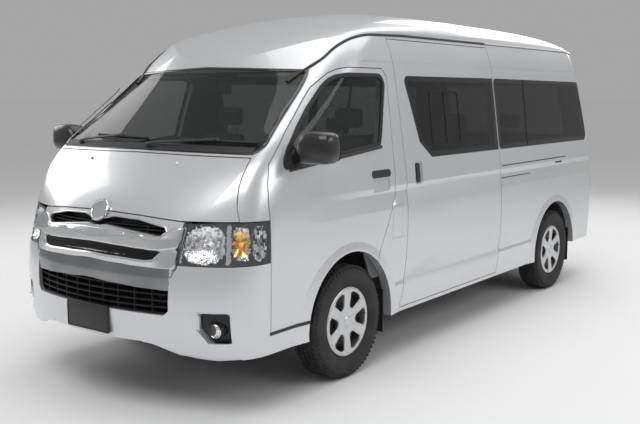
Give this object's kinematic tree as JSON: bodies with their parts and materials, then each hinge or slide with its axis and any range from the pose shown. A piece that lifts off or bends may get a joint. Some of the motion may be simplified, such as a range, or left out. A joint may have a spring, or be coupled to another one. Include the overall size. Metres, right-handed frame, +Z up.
{
  "type": "passenger van",
  "caption": "High-roof passenger van with sliding side door, hinged front doors, bonnet, tailgate and fuel lid, steered front wheels and rows of seats inside.",
  "frame": {"origin": "on the ground under the centre of the van's bounding box", "axes": "+Z up, -Y the way the van drives, +X towards the vehicle's left side"},
  "size_m": [2.3, 5.3812, 2.2882],
  "materials": {
    "paint_silver": "metallic gloss",
    "frame_black": "satin",
    "glass_tinted": "tinted",
    "lamp_clear": "clear over bright reflector",
    "lamp_red": "gloss",
    "trim_black": "matte",
    "trim_grey": "matte",
    "seat_fabric": "woven",
    "cast": "rough",
    "steel_dark": "dull",
    "cover_silver": "satin",
    "tyre": "matte"
  },
  "bodies": {
    "body": {"roof_panel": "paint_silver", "body_side_left": "paint_silver", "body_side_right": "paint_silver", "front_panel": "paint_silver", "floor_pan": "frame_black", "chassis_frame": "frame_black", "windscreen": "glass_tinted", "side_glass": "glass_tinted", "front_bumper": "paint_silver", "rear_bumper": "paint_silver", "nose_panel": "paint_silver", "front_lamps": "lamp_clear", "tail_lamps": "lamp_red", "sliding_door": "paint_silver", "dashboard": "trim_grey", "steering_column": "trim_black", "front_seats": "seat_fabric", "rear_seats": "seat_fabric", "engine_block": "cast", "front_suspension": "frame_black", "rear_axle": "cast", "rear_springs": "steel_dark", "fuel_tank": "steel_dark", "exhaust": "steel_dark", "spare_wheel": "tyre", "mud_flaps": "trim_black"},
    "front_door_left": {"door_left": "paint_silver", "door_glass_left": "glass_tinted", "door_mirror_left": "trim_black"},
    "front_door_right": {"door_right": "paint_silver", "door_glass_right": "glass_tinted", "door_mirror_right": "trim_black"},
    "bonnet": {"bonnet": "paint_silver"},
    "tailgate": {"tailgate": "paint_silver", "tailgate_glass": "glass_tinted"},
    "fuel_lid": {"fuel_lid": "paint_silver"},
    "knuckle_left": {"knuckle_left": "cast"},
    "knuckle_right": {"knuckle_right": "cast"},
    "steering_wheel": {"steering_wheel": "trim_black"},
    "wheel_front_left": {"rim_front_left": "cover_silver", "tyre_front_left": "tyre"},
    "wheel_front_right": {"rim_front_right": "cover_silver", "tyre_front_right": "tyre"},
    "wheel_rear_left": {"rim_rear_left": "cover_silver", "tyre_rear_left": "tyre"},
    "wheel_rear_right": {"rim_rear_right": "cover_silver", "tyre_rear_right": "tyre"}
  },
  "joints": [
    {"name": "front_door_left_hinge", "type": "hinge", "parent": "body", "child": "front_door_left", "pos_m": [0.945, -2.224, 0.9], "axis": [0, 0, -1], "range_deg": [0, 65]},
    {"name": "front_door_right_hinge", "type": "hinge", "parent": "body", "child": "front_door_right", "pos_m": [-0.945, -2.224, 0.9], "axis": [0, 0, 1], "range_deg": [0, 65]},
    {"name": "bonnet_hinge", "type": "hinge", "parent": "body", "child": "bonnet", "pos_m": [0, -2.307, 1.378], "axis": [1, 0, 0], "range_deg": [-50, 0]},
    {"name": "tailgate_hinge", "type": "hinge", "parent": "body", "child": "tailgate", "pos_m": [0, 2.422, 2.072], "axis": [1, 0, 0], "range_deg": [0, 85]},
    {"name": "fuel_lid_hinge", "type": "hinge", "parent": "body", "child": "fuel_lid", "pos_m": [0.9385, -1.022, 0.9], "axis": [0, 0, -1], "range_deg": [0, 90]},
    {"name": "steer_left", "type": "hinge", "parent": "body", "child": "knuckle_left", "pos_m": [0.73125, -1.4768, 0.345], "axis": [0, 0, 1], "range_deg": [-32, 32]},
    {"name": "steer_right", "type": "hinge", "parent": "body", "child": "knuckle_right", "pos_m": [-0.73125, -1.4768, 0.345], "axis": [0, 0, 1], "range_deg": [-32, 32]},
    {"name": "steering_wheel_turn", "type": "hinge", "parent": "body", "child": "steering_wheel", "pos_m": [-0.4, -1.68, 1.11], "axis": [0, 0.8191, 0.5736], "range_deg": [-540, 540]},
    {"name": "spin_front_left", "type": "hinge", "parent": "knuckle_left", "child": "wheel_front_left", "pos_m": [0.82625, -1.4768, 0.345], "axis": [1, 0, 0], "continuous": true},
    {"name": "spin_front_right", "type": "hinge", "parent": "knuckle_right", "child": "wheel_front_right", "pos_m": [-0.82625, -1.4768, 0.345], "axis": [1, 0, 0], "continuous": true},
    {"name": "spin_rear_left", "type": "hinge", "parent": "body", "child": "wheel_rear_left", "pos_m": [0.82625, 1.6382, 0.345], "axis": [1, 0, 0], "continuous": true},
    {"name": "spin_rear_right", "type": "hinge", "parent": "body", "child": "wheel_rear_right", "pos_m": [-0.82625, 1.6382, 0.345], "axis": [1, 0, 0], "continuous": true}
  ],
  "couplings": [
    {"joint": "steer_right", "follows": "steer_left", "ratio": 1},
    {"joint": "steering_wheel_turn", "follows": "steer_left", "ratio": 16.875}
  ]
}
